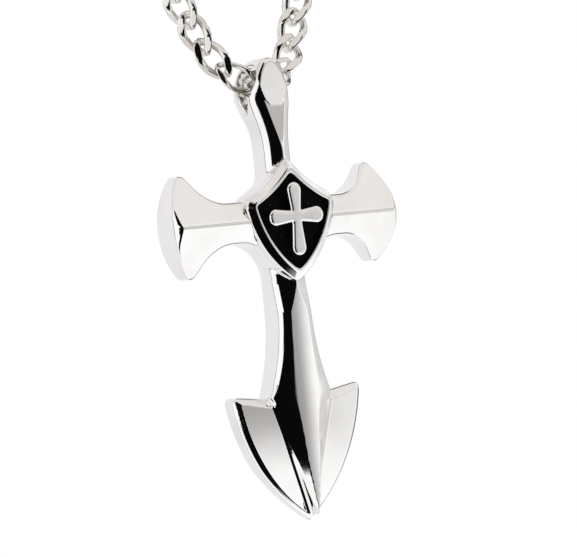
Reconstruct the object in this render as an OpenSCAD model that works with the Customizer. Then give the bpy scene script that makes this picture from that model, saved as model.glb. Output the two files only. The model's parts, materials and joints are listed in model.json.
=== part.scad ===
// Cross pendant on a curb chain.
// Millimetres. The origin lies on the skin at the nape, where the chain rests.
// +Z is up, -Y is the wearer's front and +X is the viewer's right.
// Each metal piece is drawn in the pendant's own frame, with its flat back at y = 0,
// its front towards -Y and the middle of the arms at z = 0, and is then hung on the chain.

/* [Cross] */
// Height of the arms' middle ridge above the back
ridge_h = 4.3; // [3.8:0.1:4.6]
// Height of the flat band along the shaft above the back
band_h = 3.9; // [3.4:0.1:4.2]
// Distance from the middle to a corner of an arm
arm_corner_x = 13.9; // [12:0.1:16]
// Distance from the middle to the round end of an arm
arm_end_x = 16.5; // [15.2:0.1:18]
// Half width of an arm's flared end
arm_end_half = 5.95; // [5:0.05:7]
// Half width of an arm where it is narrowest
arm_neck_half = 2.4; // [2:0.05:3]
// Fall of the facets on each side of an arm's ridge, in mm per mm
arm_fall = 0.43; // [0.3:0.01:0.5]
// Half width of the upper shaft where it is narrowest
upper_half = 1.85; // [1.5:0.05:2.2]
// Half width of the head where it is widest
head_half = 2.85; // [2.5:0.05:3.4]
// Height of the head's top above the middle of the arms
head_top = 19.25; // [18:0.05:21]
// Half width of the lower shaft where it is narrowest
lower_half = 2.4; // [2:0.05:3]
// Fall of the bevels beside the flat band, in mm per mm
band_fall = 0.5; // [0.3:0.01:0.6]

/* [Bail] */
// Radius of the round part of the hole that the chain runs through
bail_r = 1.75; // [1.7:0.05:2]
// Metal above the hole
bail_wall = 0.85; // [0.7:0.05:1.2]
// Metal behind the hole
bail_back_wall = 0.6; // [0.5:0.05:1]
// Distance from the flat back forward to the middle of the hole
bail_in = 0.8; // [0.7:0.05:1]
// Length of the hole's pointed lower end, from its middle
bail_drop = 3.85; // [3:0.05:4.2]
// Width of the flare at each mouth of the hole
bail_flare = 0.2; // [0.1:0.05:0.4]

/* [Arrow foot] */
// Depth of the foot's point below the middle of the arms
tip_drop = 35.6; // [33:0.1:38]
// Depth of the barbs' upper edge below the middle of the arms
barb_drop = 20.75; // [19:0.1:22]
// Rise of the barbs' upper edge towards its outer end
barb_rise = 0.6; // [0:0.05:0.6]
// Half width of the foot across its barbs
barb_half = 9.4; // [8.4:0.1:11]
// Height of the wings' flat facets above the back
wing_h = 2.55; // [2.2:0.05:2.8]
// Height of the wings' outer edge above the back
wing_edge_h = 1.85; // [1.5:0.05:2.1]
// Width of the bevel around the wings
wing_bevel = 0.95; // [0.6:0.05:1.2]
// Height of the spear's side edges above the back
spear_edge_h = 3.2; // [2.9:0.05:3.4]
// Half width of the spear at its shoulders
spear_half = 4.45; // [4:0.05:5]

/* [Shield] */
// Height of the shield's rim above the back
shield_h = 4.8; // [4.6:0.05:5.2]
// Height of the foot of the shield's chamfer above the back
shield_edge_h = 4.1; // [3.9:0.05:4.4]
// Width of the shield's flat rim
rim_w = 0.35; // [0.25:0.05:0.6]
// Width of the shield's outer chamfer
rim_chamfer = 0.8; // [0.5:0.05:1]
// Distance from the middle to a side corner of the sunk field
field_half = 5.42; // [5:0.02:6]
// Height of the seat under the shield above the back
seat_h = 3.6; // [3.4:0.05:3.8]
// Depth of the sunk field below the rim
field_depth = 0.8; // [0.5:0.05:1]
// Thickness of the black fill
fill_t = 0.2; // [0.1:0.05:0.4]
// Half span of the small cross, from side to side
emblem_half = 4.0; // [3.4:0.1:4.2]
// Height of the small cross above the back
emblem_h = 5.35; // [5:0.05:5.6]
// Gap left round each seated piece
seat_gap = 0.03; // [0.02:0.01:0.05]

/* [Chain] */
// Length of one link
link_len = 5.7; // [5.6:0.05:5.9]
// Width of one link
link_w = 3.4; // [3.3:0.05:3.5]
// Distance from one link to the next
link_pitch = 3.5; // [3.4:0.05:3.6]
// Width of a link's flattened wire
wire_w = 0.7; // [0.6:0.05:0.75]
// Thickness of a link's flattened wire
wire_t = 0.65; // [0.6:0.05:0.7]
// Angle through which each end of a link is twisted
link_twist = 58; // [55:1:60]
// Radius of the loop at the nape
neck_r = 60; // [54:0.5:66]

/* [Clasp] */
// Radius of the end rings, to the middle of the wire
ring_r = 2.2; // [2.1:0.05:2.5]
// Thickness of the end rings' wire
ring_wire = 0.8; // [0.6:0.05:0.8]
// Width of the clasp
clasp_w = 5.4; // [5:0.1:7]
// Thickness of the clasp
clasp_t = 1.1; // [0.8:0.05:1.2]

/* [Hidden] */
steel = [0.8, 0.79, 0.77];
enamel_black = [0.04, 0.04, 0.045];
round_fn = 64;
curve_n = 10;
// Reach of the blocks that cut and limit the shapes
far = 60;

// Points on an arc, from angle a0 to a1
function arc(centre, r, a0, a1, n) =
    [for (i = [0:n]) centre + r * [cos(a0 + (a1 - a0) * i / n), sin(a0 + (a1 - a0) * i / n)]];
// Radius and centre of the arc from p to q that bulges by s to the right of the way from p to q
function bow_r(p, q, s) = (norm(q - p) * norm(q - p) / 4 + s * s) / (2 * s);
function bow_centre(p, q, s) =
    (p + q) / 2 - [(q - p)[1], -(q - p)[0]] / norm(q - p) * (bow_r(p, q, s) - s);
function bow(p, q, s, n) =
    let (r = bow_r(p, q, s), along = (q - p) / norm(q - p), half = asin(norm(q - p) / 2 / r))
    [for (i = [0:n]) let (a = half * (2 * i / n - 1))
        bow_centre(p, q, s) + r * ([along[1], -along[0]] * cos(a) + along * sin(a))];
function flip_z(points) = [for (i = [len(points) - 1:-1:0]) [points[i][0], -points[i][1]]];
function unit(v) = v / norm(v);

// Both halves of a drawing whose right half is given
module both_sides(points) {
    polygon(points);
    mirror([1, 0]) polygon(points);
}
// Turns a drawing in X and Z into a plate from height h0 to h1 above the back
module plate(h0, h1) {
    rotate([90, 0, 0]) translate([0, 0, h0]) linear_extrude(h1 - h0) children();
}
// Turns a drawing in Y and Z into a block along X
module along_x() {
    translate([-far, 0, 0]) rotate([90, 0, 90]) linear_extrude(2 * far) children();
}

// Cross
// Height of the upper shaft's narrowest place and of the head's widest place
upper_neck_z = 6.1;
head_z = 14.3;
// Half width of the head where its rounded top begins, and the height of that top
head_top_half = 2.0;
head_top_rise = 1.85;
// Height of the lower shaft's narrowest place and of the spear's shoulders
lower_neck_z = -9.5;
shoulder_z = -20.6;
// Radii of the inner corners between the arms and the shaft
upper_fillet = 3.6;
lower_fillet = 4.8;
// Radius of an arm's flare and its steepest angle, then the radius of the corner
// and the bulge of each half of the end
flare_r = 5;
flare_turn = 55;
arm_corner_r = 0.95;
end_bulge = 0.55;
// Half width of the flat band below the shield and at the shoulders
band_low = 1.1;
band_foot = 1.35;
// Where the band starts below the shield, and where it reaches its width
band_low_start = -7.6;
band_low_full = -10.9;
// Where the band starts above the shield, and how far it leans back
band_top_start = 8.2;
band_lean = 7.1;
// Room behind the back, which the plates then cut away
behind = 3;
head_reach = 6;

arm_corner = [arm_corner_x - 0.1, arm_end_half - arm_corner_r];
// The straight run between the flare and the corner
flare_end_x = arm_corner[0] - arm_corner_r * sin(flare_turn)
    - (arm_corner[1] + arm_corner_r * cos(flare_turn) - arm_neck_half
    - flare_r * (1 - cos(flare_turn))) / tan(flare_turn);
arm_edge = concat(
    arc([flare_end_x - flare_r * sin(flare_turn), arm_neck_half + flare_r],
        flare_r, -90, flare_turn - 90, 8),
    arc(arm_corner, arm_corner_r, 90 + flare_turn, 43, 5),
    bow(arm_corner + arm_corner_r * [cos(40), sin(40)], [arm_end_x, 0], -end_bulge, 6));

module arms_outline() {
    both_sides(concat([[0, arm_neck_half]], arm_edge, flip_z(arm_edge), [[0, -arm_neck_half]]));
}
// Inner corner of radius r between a shaft of half width w and an arm
module corner_outline(w, r) {
    both_sides(concat([[0, 0], [w + r, 0]],
        arc([w + r, arm_neck_half + r], r, 270, 180, curve_n), [[0, arm_neck_half + r]]));
}
module upper_outline() {
    both_sides(concat([[0, 0], [upper_half, 0]],
        bow([upper_half, upper_neck_z], [head_half - 0.15, head_z - 1.1], -0.42, curve_n),
        bow([head_half, head_z], [head_top_half, head_top - head_top_rise], 0.15, 5),
        bow([head_top_half - 0.1, head_top - head_top_rise + 0.3], [0, head_top], 0.36, 5)));
}
module lower_outline() {
    both_sides(concat([[0, 0], [0, shoulder_z - 1], [spear_half - 0.3, shoulder_z - 1]],
        bow([spear_half, shoulder_z], [lower_half, lower_neck_z], -0.62, curve_n),
        [[lower_half, 0]]));
}
// Ridged bar along X, whose facets fall away from the arms' middle line
module arm_roof() {
    edge = far / 6;
    along_x() polygon([[behind, -edge], [behind, edge], [edge * arm_fall - ridge_h, edge],
        [-ridge_h, 0], [edge * arm_fall - ridge_h, -edge]]);
}
// Slice of the shaft's roof: a flat band of half width t between two bevels
module roof_slice(z, t) {
    low = band_fall * (head_reach - t) - band_h;
    translate([0, 0, z]) linear_extrude(0.01) polygon([[-head_reach, behind], [head_reach, behind],
        [head_reach, low], [t, -band_h], [-t, -band_h], [-head_reach, low]]);
}
module upper_roof() {
    low = band_fall * head_reach - band_h;
    linear_extrude(head_top + 1) polygon([[-head_reach, behind], [head_reach, behind],
        [head_reach, low], [0, -band_h], [-head_reach, low]]);
}
// Everything in front of a plane that leans back by a degrees from height h at z
module leaning_cut(h, z, a) {
    translate([-far, -h, z]) rotate([-a, 0, 0]) translate([0, -far, -far / 4]) cube([2 * far, far, far]);
}
module lower_roof() {
    point = 0.02;
    hull() {
        roof_slice(0, point);
        roof_slice(band_low_start, point);
    }
    hull() {
        roof_slice(band_low_start, point);
        roof_slice(band_low_full, band_low);
    }
    hull() {
        roof_slice(band_low_full, band_low);
        roof_slice(shoulder_z, band_foot);
    }
}

// Bail
hole_z = head_top - bail_wall - bail_r;
pivot_y = -bail_in;
pivot_z = hole_z - 0.4;
bail_back = bail_r + bail_back_wall;
// Height over which the bail's back runs down to the shaft's flat back
bail_run = 6;
// The head's flat facet, which leans back less than the band below it
facet_z = 13.5;
facet_h = 3.2;
facet_lean = 2.6;

// Side view of the upper half: flat back, bulge behind the hole and round top
module side_outline() {
    translate([-far, 0]) square([far, hole_z]);
    translate([pivot_y, hole_z]) {
        translate([bail_back_wall - bail_wall, 0]) circle(bail_r + bail_wall, $fn = round_fn);
        translate([-far, 0]) square([far + bail_back_wall - bail_wall, bail_r + bail_wall]);
        polygon([[0, 0], [bail_back, 0], [bail_back, -1], [bail_in, -bail_run], [0, -bail_run]]);
    }
}
module bail_hole_outline() {
    tangent = acos(bail_r / bail_drop);
    circle(bail_r, $fn = round_fn);
    polygon([[0, 0], [bail_r * sin(tangent), -bail_r * cos(tangent)], [0, -bail_drop],
        [-bail_r * sin(tangent), -bail_r * cos(tangent)]]);
}
module bail_hole() {
    cone_l = 2;
    translate([0, pivot_y, hole_z]) {
        along_x() bail_hole_outline();
        for (m = [0, 1]) mirror([m, 0, 0])
            translate([head_half - bail_flare, 0, 0]) rotate([0, 90, 0])
                cylinder(h = cone_l, r1 = bail_r, r2 = bail_r + cone_l, $fn = round_fn);
    }
}

// Arrow foot
wing_sag = 1.75;
// The point of the foot is sharper than its sides, so a bevel reaches further up it
point_stretch = 1.35;
spear_tip_z = -34.9;
ridge_tip_gap = 0.5;
back_rise_z = -27.5;
back_rise = 9;

module wing_outline(inset) {
    tip = [0, -tip_drop + inset * point_stretch];
    both_sides(concat(
        bow(tip, [barb_half - inset, -barb_drop - 0.75 - inset * 0.2], wing_sag, 14),
        [[barb_half - inset - 0.12, barb_rise - barb_drop - 0.45 - inset],
            [barb_half - inset - 0.5, barb_rise - barb_drop - inset],
            [spear_half, -barb_drop - inset], [0, -barb_drop - inset]]));
}
module spear_outline() {
    polygon([[-spear_half, shoulder_z], [spear_half, shoulder_z], [0.1, spear_tip_z],
        [-0.1, spear_tip_z]]);
}
module foot() {
    skin = 0.02;
    difference() {
        union() {
            plate(0, wing_edge_h) wing_outline(0);
            hull() {
                plate(wing_edge_h - skin, wing_edge_h) wing_outline(0);
                plate(wing_h - skin, wing_h) wing_outline(wing_bevel);
            }
            plate(wing_edge_h, spear_edge_h) spear_outline();
            hull() {
                plate(spear_edge_h - skin, spear_edge_h) spear_outline();
                plate(band_h - skin, band_h)
                    polygon([[-band_foot, shoulder_z], [band_foot, shoulder_z],
                        [band_foot * 0.63, spear_tip_z + 6.6], [0, ridge_tip_gap - tip_drop],
                        [-band_foot * 0.63, spear_tip_z + 6.6]]);
            }
        }
        translate([-far, 0, back_rise_z]) rotate([-back_rise, 0, 0])
            translate([0, 0, -far]) cube([2 * far, far, far]);
    }
}

// Shield
field_corner_z = 1.75;
field_top = 5.7;
field_bottom = -6.2;
upper_sag = 0.38;
lower_sag = 0.92;
shield_base = 1.5;
rim_reach = rim_w + rim_chamfer;
field_floor = shield_h - field_depth;
shield_corner = [field_half, field_corner_z];
upper_c = bow_centre([0, field_top], shield_corner, upper_sag);
upper_r = bow_r([0, field_top], shield_corner, upper_sag);
lower_c = bow_centre([0, field_bottom], shield_corner, lower_sag);
lower_r = bow_r([0, field_bottom], shield_corner, lower_sag);

// Cone whose axis runs through c, from radius r0 at height h0 to r1 at h1
module shield_cone(c, h0, h1, r0, r1) {
    rotate([90, 0, 0]) translate([c[0], c[1], h0]) cylinder(h = h1 - h0, r1 = r0, r2 = r1, $fn = 128);
}
// Shield-shaped block: the field's outline moved out by g0 at height h0 and by g1 at h1
module shield_block(h0, h1, g0, g1) {
    slope = (g1 - g0) / (h1 - h0);
    over = 0.5;
    difference() {
        intersection_for (m = [0, 1]) mirror([m, 0, 0])
            shield_cone(lower_c, h0, h1, lower_r + g0, lower_r + g1);
        for (m = [0, 1]) mirror([m, 0, 0])
            shield_cone(upper_c, h0 - over, h1 + over,
                upper_r - g0 + slope * over, upper_r - g1 - slope * over);
    }
}

// Room for the shield on its seat, also where the ridges of the arms run up to its chamfer
module shield_room() {
    reach = rim_reach + seat_gap;
    shield_block(seat_h, shield_edge_h + seat_gap, reach, reach);
    shield_block(shield_edge_h, shield_h, reach + seat_gap / 2, rim_w + seat_gap * 1.5);
}

// Small cross
emblem_z = 0.2;
emblem_top = 4.0;
emblem_foot = 4.65;
emblem_mid_r = 0.62;
emblem_end_r = 1.0;
emblem_bevel = 0.32;

module emblem_arm(turn, reach, h0, h1, grow0, grow1) {
    translate([0, 0, emblem_z]) rotate([0, turn, 0]) hull() {
        plate(h0, h0 + 0.01) {
            circle(emblem_mid_r + grow0, $fn = 20);
            translate([reach - emblem_end_r, 0]) circle(emblem_end_r + grow0, $fn = 20);
        }
        plate(h1 - 0.01, h1) {
            circle(emblem_mid_r + grow1, $fn = 20);
            translate([reach - emblem_end_r, 0]) circle(emblem_end_r + grow1, $fn = 20);
        }
    }
}
module emblem(h0, h1, grow0, grow1) {
    for (arm = [[0, emblem_half], [90, emblem_foot], [180, emblem_half], [270, emblem_top]])
        emblem_arm(arm[0], arm[1], h0, h1, grow0, grow1);
}
// Flat outline of the small cross
module emblem_outline(grow) {
    for (arm = [[0, emblem_half], [90, emblem_top], [180, emblem_half], [270, emblem_foot]])
        translate([0, emblem_z]) rotate(arm[0]) {
            reach = arm[1] - emblem_end_r;
            lean = asin((emblem_end_r - emblem_mid_r) / reach);
            r0 = emblem_mid_r + grow;
            r1 = emblem_end_r + grow;
            circle(r0, $fn = round_fn);
            translate([reach, 0]) circle(r1, $fn = round_fn);
            polygon([[-r0 * sin(lean), r0 * cos(lean)], [reach - r1 * sin(lean), r1 * cos(lean)],
                [reach - r1 * sin(lean), -r1 * cos(lean)], [-r0 * sin(lean), -r0 * cos(lean)]]);
        }
}

// Route of the chain's right half: round the bail, up the strand, over the shoulder
// and round the nape. The left half mirrors it.
skin_gap = ring_r + ring_wire / 2 + 0.1;
nape_fall = 0.2;
shoulder_leg = 25;
// Direction of the strand, from the bail up to the shoulder
strand_dir = unit([0.445, 0.085, 1]);
nape_c = skin_gap - neck_r;
nape_side = [neck_r, nape_c, -neck_r * nape_fall];
shoulder_at = nape_side + shoulder_leg * unit([0, -1, -nape_fall]);
strand_top = shoulder_at - shoulder_leg * strand_dir;
// Way from the bail to the foot of the strand, then the lengths that round the bend
bail_to_strand = [5.9, 1.6, 3.4];
bend_in = 4.0;
bend_out = 3.2;
strand_low = strand_top - (strand_top[0] - bail_to_strand[0]) / strand_dir[0] * strand_dir;
pivot = strand_low - bail_to_strand;
bend_end = strand_low + 3 * strand_dir;
bend = [pivot, pivot + [bend_in, 0, 0], bend_end - bend_out * strand_dir, bend_end];
v_up = unit([0, strand_dir[1], strand_dir[2]]);
route = concat(
    [for (i = [0:12]) let (t = i / 12, w = 1 - t)
        w * w * w * bend[0] + 3 * w * w * t * bend[1] + 3 * w * t * t * bend[2] + t * t * t * bend[3]],
    [for (i = [0:20]) let (t = i / 20)
        (1 - t) * (1 - t) * strand_top + 2 * t * (1 - t) * shoulder_at + t * t * nape_side],
    [for (i = [1:30]) let (a = 90 - 3 * i)
        [neck_r * sin(a), nape_c + neck_r * cos(a), -neck_r * nape_fall * (1 - cos(a))]]);
route_s = [for (i = 0, s = 0; i < len(route);
    s = s + (i + 1 < len(route) ? norm(route[i + 1] - route[i]) : 0), i = i + 1) s];
half_loop = route_s[len(route) - 1];
route_x = [for (i = [0:len(route) - 1]) [route_s[i], route[i][0]]];
route_y = [for (i = [0:len(route) - 1]) [route_s[i], route[i][1]]];
route_z = [for (i = [0:len(route) - 1]) [route_s[i], route[i][2]]];
function side(s) = s < 0 ? -1 : 1;
function route_at(s) =
    [side(s) * lookup(abs(s), route_x), lookup(abs(s), route_y), lookup(abs(s), route_z)];
function route_dir(s) = unit(route_at(s + 0.9) - route_at(s - 0.9));
function ramp(v) = let (t = max(0, min(1, v))) t * t * (3 - 2 * t);
// Outward direction of the chain's flat side before it is rolled, square to the route
function route_out(s) =
    let (p = route_at(s), t = route_dir(s), u = ramp((abs(s) - 30) / 110))
    let (v = (1 - u) * [0, -v_up[2], v_up[1]] + u * unit([p[0], p[1] - nape_c, 0]))
    unit(v - (v * t) * t);

// Links
clasp_room = 10;
links_a_side = floor((half_loop - clasp_room) / link_pitch);
wire_n = 5;
turn_n = 10;
link_a = (link_len - wire_w) / 2;
link_b = (link_w - wire_w) / 2;
// Number of a link, counted from the bail, and how far the chain is rolled there
roll_steps = [[0, 0], [3, 45], [7, 45], [12, 0]];
end_links = 5;
function power(v) = sign(v) * pow(abs(v), 0.8);
// Middle of a link's wire, and the direction square to the twisted link, at angle a round it
function link_mid(a) =
    let (x = link_a * power(cos(a)), w = link_b * power(sin(a)), t = link_twist * x / link_a)
    [x, w * cos(t), w * sin(t)];
function link_up(a) = let (t = link_twist * power(cos(a))) [0, -sin(t), cos(t)];
link_points = [for (i = [0:turn_n - 1])
    let (a = 360 * i / turn_n, c = link_mid(a), t = unit(link_mid(a + 4) - link_mid(a - 4)))
    let (u = unit(link_up(a) - (link_up(a) * t) * t), v = cross(t, u))
    for (j = [0:wire_n - 1])
        c + wire_t / 2 * cos(360 * j / wire_n) * u + wire_w / 2 * sin(360 * j / wire_n) * v];
link_faces = [for (i = [0:turn_n - 1], j = [0:wire_n - 1])
    let (i1 = (i + 1) % turn_n, j1 = (j + 1) % wire_n)
    [i * wire_n + j, i1 * wire_n + j, i1 * wire_n + j1, i * wire_n + j1]];
function link_roll(i) =
    -side(i) * (lookup(abs(i), roll_steps)
        + link_twist * ramp((abs(i) - links_a_side + end_links) / end_links));
function link_frame(i) =
    let (s = i * link_pitch, t = route_dir(s), n0 = route_out(s), b0 = cross(t, n0), w = link_roll(i))
    let (n = n0 * cos(w) + b0 * sin(w))
    [route_at(s), t, cross(n, t), n];
// All the links from number i0 to i1, as one polyhedron of separate shells
module links(i0, i1) {
    frames = [for (i = [i0:i1]) link_frame(i)];
    count = len(link_points);
    polyhedron(
        [for (f = frames, p = link_points) f[0] + p[0] * f[1] + p[1] * f[2] + p[2] * f[3]],
        [for (k = [0:len(frames) - 1], q = link_faces) [for (v = q) v + k * count]],
        convexity = 8);
}

// End rings and clasp
link_play = 0.2;
ring_s = links_a_side * link_pitch + link_a + ring_r - wire_w / 2 - ring_wire / 2 - link_play;
clasp_rim = 1.0;
clasp_half = half_loop - ring_s - ring_r + ring_wire / 2 + link_play + clasp_rim;
eye_r = 1.35;

module end_ring(m) {
    p = route_at(ring_s);
    t = route_dir(ring_s);
    color(steel) mirror([m, 0, 0]) translate(p) rotate([0, atan2(t[2], -t[0]), 0])
        rotate_extrude($fn = round_fn) translate([ring_r, 0]) circle(ring_wire / 2, $fn = 24);
}
module clasp_outline() {
    end_c = clasp_half - clasp_w / 2;
    difference() {
        union() {
            for (m = [-1, 1]) translate([m * end_c, 0]) circle(clasp_w / 2, $fn = round_fn);
            square([2 * end_c, clasp_w], center = true);
        }
        for (m = [-1, 1]) translate([m * (clasp_half - clasp_rim - eye_r), 0])
            circle(eye_r, $fn = round_fn);
    }
}

// Hangs a piece drawn in the pendant's own frame on the chain, with its weight below the bail
hang_lean = 2.45;
module hang() {
    translate(pivot) rotate([hang_lean, 0, 0]) translate([0, -pivot_y, -pivot_z]) children();
}

module cross_body() {
    color(steel) hang() difference() {
        union() {
            intersection() {
                plate(0, head_reach) arms_outline();
                arm_roof();
            }
            intersection() {
                plate(-behind, head_reach) upper_outline();
                along_x() side_outline();
                upper_roof();
            }
            intersection() {
                plate(0, head_reach) union() {
                    lower_outline();
                    corner_outline(upper_half, upper_fillet);
                    mirror([0, 1]) corner_outline(lower_half, lower_fillet);
                }
                union() {
                    arm_roof();
                    upper_roof();
                    lower_roof();
                }
            }
            shield_block(shield_base, seat_h, rim_reach, rim_reach);
            foot();
        }
        bail_hole();
        shield_room();
        intersection() {
            leaning_cut(band_h, band_top_start, band_lean);
            leaning_cut(facet_h, facet_z, facet_lean);
        }
    }
}
module shield() {
    color(steel) hang() difference() {
        union() {
            shield_block(seat_h + seat_gap, shield_edge_h, rim_reach, rim_reach);
            shield_block(shield_edge_h, shield_h, rim_reach, rim_w);
        }
        shield_block(field_floor, shield_h + 1, 0, 0);
    }
}
module enamel_field() {
    color(enamel_black) hang() difference() {
        shield_block(field_floor + seat_gap, field_floor + fill_t, -seat_gap, -seat_gap);
        plate(field_floor - 1, shield_h) emblem_outline(seat_gap);
    }
}
module small_cross() {
    bevel_z = emblem_h - emblem_bevel;
    color(steel) hang() {
        plate(field_floor + seat_gap, bevel_z) emblem_outline(0);
        emblem(bevel_z, emblem_h, 0, -emblem_bevel);
    }
}
module chain_left() {
    color(steel) links(-links_a_side, -1);
}
module chain_right() {
    color(steel) links(0, links_a_side);
}
module left_ring() {
    end_ring(1);
}
module right_ring() {
    end_ring(0);
}
module clasp() {
    p = route_at(ring_s);
    color(steel) translate([0, p[1] + clasp_t / 2, p[2]]) rotate([90, 0, 0])
        linear_extrude(clasp_t) clasp_outline();
}

cross_body();
shield();
enamel_field();
small_cross();
chain_left();
chain_right();
left_ring();
right_ring();
clasp();
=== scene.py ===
"""Cross pendant on a curb chain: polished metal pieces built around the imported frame."""

import json
import math

import bpy
import numpy as np
from mathutils import Matrix, Vector


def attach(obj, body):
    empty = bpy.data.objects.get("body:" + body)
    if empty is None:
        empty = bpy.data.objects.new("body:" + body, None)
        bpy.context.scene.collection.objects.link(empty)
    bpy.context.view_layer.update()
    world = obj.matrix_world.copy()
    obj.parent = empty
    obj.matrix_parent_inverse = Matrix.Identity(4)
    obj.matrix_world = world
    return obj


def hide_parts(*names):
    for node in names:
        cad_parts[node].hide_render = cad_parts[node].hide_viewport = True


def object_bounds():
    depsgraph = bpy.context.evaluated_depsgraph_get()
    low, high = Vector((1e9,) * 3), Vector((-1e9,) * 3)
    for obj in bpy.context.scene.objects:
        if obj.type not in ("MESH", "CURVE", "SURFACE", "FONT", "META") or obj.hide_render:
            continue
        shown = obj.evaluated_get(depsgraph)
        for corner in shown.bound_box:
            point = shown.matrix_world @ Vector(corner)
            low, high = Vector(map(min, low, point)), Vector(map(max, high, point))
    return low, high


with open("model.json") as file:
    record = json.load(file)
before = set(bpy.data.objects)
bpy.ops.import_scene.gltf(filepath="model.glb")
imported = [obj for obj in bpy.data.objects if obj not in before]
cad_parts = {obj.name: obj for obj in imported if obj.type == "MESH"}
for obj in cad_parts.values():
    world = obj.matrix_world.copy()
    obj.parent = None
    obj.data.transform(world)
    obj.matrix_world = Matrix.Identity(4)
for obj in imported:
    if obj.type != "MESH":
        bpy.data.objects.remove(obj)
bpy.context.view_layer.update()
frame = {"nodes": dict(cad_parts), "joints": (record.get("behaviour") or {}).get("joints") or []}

MM = 0.001
HINGE = Vector(frame["joints"][0]["pos_m"])
# The pendant's own frame has its flat back at y = 0 and the middle of its arms at z = 0.
# It hangs with BAIL on the hinge and leans by HANG_LEAN, its foot towards the wearer.
HANG_LEAN = math.radians(2.45)
BAIL = Vector((0, -0.8, 16.25)) * MM
HANG = Matrix.Translation(HINGE) @ Matrix.Rotation(HANG_LEAN, 4, "X") @ Matrix.Translation(-BAIL)

# Camera
IMAGE_W = 577
SENSOR_MM = 36
FOCAL_PX = 2644
CAMERA_AZIMUTH = math.radians(-38)
CAMERA_ELEVATION = math.radians(0.6)
CAMERA_ROLL = math.radians(-5.76)
# Where the camera stands in the pendant's own frame
CAMERA_PLACE = Vector((-191.5, -247.5, -3.75)) * MM
NEAREST_SEEN, FURTHEST_SEEN = 0.01, 50


def make_camera():
    data = bpy.data.cameras.new("camera")
    data.sensor_fit = "HORIZONTAL"
    data.sensor_width = SENSOR_MM
    data.lens = FOCAL_PX / IMAGE_W * SENSOR_MM
    data.clip_start = NEAREST_SEEN
    data.clip_end = FURTHEST_SEEN
    camera = bpy.data.objects.new("camera", data)
    bpy.context.scene.collection.objects.link(camera)
    turn = (
        Matrix.Rotation(HANG_LEAN, 3, "X")
        @ Matrix.Rotation(CAMERA_AZIMUTH, 3, "Z")
        @ Matrix.Rotation(math.pi / 2 - CAMERA_ELEVATION, 3, "X")
        @ Matrix.Rotation(CAMERA_ROLL, 3, "Z")
    )
    camera.matrix_world = Matrix.Translation(HANG @ CAMERA_PLACE) @ turn.to_4x4()
    bpy.context.scene.camera = camera


make_camera()


# Shader maths
class Value:
    """A socket's value in a node tree, with Python's operators for the maths on it."""

    def __init__(self, tree, socket):
        self.tree = tree
        self.socket = socket

    def maths(self, operation, *values):
        return node(self.tree, "ShaderNodeMath", {"operation": operation}, dict(enumerate(values)))[0]

    def __add__(self, other):
        return self.maths("ADD", self, other)

    def __sub__(self, other):
        return self.maths("SUBTRACT", self, other)

    def __rsub__(self, other):
        return self.maths("SUBTRACT", other, self)

    def __mul__(self, other):
        return self.maths("MULTIPLY", self, other)

    __radd__ = __add__
    __rmul__ = __mul__

    def smooth(self, low, high):
        """0 below low, 1 above high and smooth between them."""
        return node(
            self.tree,
            "ShaderNodeMapRange",
            {"interpolation_type": "SMOOTHSTEP"},
            {"Value": self, "From Min": low, "From Max": high},
        )[0]

    def mix(self, a, b):
        """Colour a where this is 0 and colour b where it is 1."""
        made = node(self.tree, "ShaderNodeMix", {"data_type": "RGBA"}, {0: self, 6: a, 7: b})
        return made[2]


def node(tree, kind, settings=None, values=None):
    """Adds a node: its settings first, then the values or links of its sockets. Gives its outputs."""
    made = tree.nodes.new(kind)
    for name, value in (settings or {}).items():
        setattr(made, name, value)
    for key, value in (values or {}).items():
        socket = made.inputs[key]
        if isinstance(value, Value):
            tree.links.new(value.socket, socket)
        else:
            socket.default_value = value
    return [Value(tree, s) for s in made.outputs]


# Outputs of the coordinates node: a direction in the world's tree, and a place on a piece in metres
DIRECTION, PLACE = 0, 3


def new_material(name):
    material = bpy.data.materials.new(name)
    material.use_nodes = True
    tree = material.node_tree
    tree.nodes.clear()
    return material, tree


def finish_material(tree, values):
    shader = node(tree, "ShaderNodeBsdfPrincipled", {}, values)[0]
    node(tree, "ShaderNodeOutputMaterial", {}, {"Surface": shader})


def noise(tree, place, scale, detail=3.0, rough=0.5):
    return node(
        tree,
        "ShaderNodeTexNoise",
        {},
        {"Vector": place, "Scale": scale, "Detail": detail, "Roughness": rough},
    )[0]


def bump(tree, strength, distance, height):
    return node(
        tree,
        "ShaderNodeBump",
        {},
        {"Strength": strength, "Distance": distance, "Height": height},
    )[0]


# How fine the marks on the metal and the enamel are: the noise's scale on a place in metres
STAIN_SCALE, SCRATCH_SCALE, WAVE_SCALE = 160, 2600, 210
PIT_SCALE, SWELL_SCALE = 2400, 700
# How much of the noise counts as a mark, from its faint edge to its full strength
STAIN_EDGE = (0.42, 0.72)
SCRATCH_EDGE = (0.5, 0.9)
PIT_EDGE = (0.60, 0.72)
# What the marks add to the roughness
STAIN_ROUGH, SCRATCH_ROUGH = 0.03, 0.05
ENAMEL_ROUGH, SWELL_ROUGH, PIT_ROUGH = 0.28, 0.2, 0.2
# Depth of the scratches and the pits, as a share of the slow waviness
SCRATCH_DEPTH, PIT_DEPTH = 0.02, 0.4
STEEL_BUMP_M, ENAMEL_BUMP_M = 0.0002, 0.0001
ENAMEL_BUMP = 0.35
# Nearly none: only the metal round the black fill shows the room
ENAMEL_SHINE = 0.02

STEEL_TINT, STEEL_STAIN = (0.86, 0.85, 0.84, 1), (0.80, 0.785, 0.765, 1)
CHAIN_TINT, CHAIN_STAIN = (0.78, 0.76, 0.72, 1), (0.68, 0.65, 0.60, 1)
ENAMEL_BLACK, ENAMEL_DUST = (0.004, 0.004, 0.005, 1), (0.03, 0.028, 0.026, 1)


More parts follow.
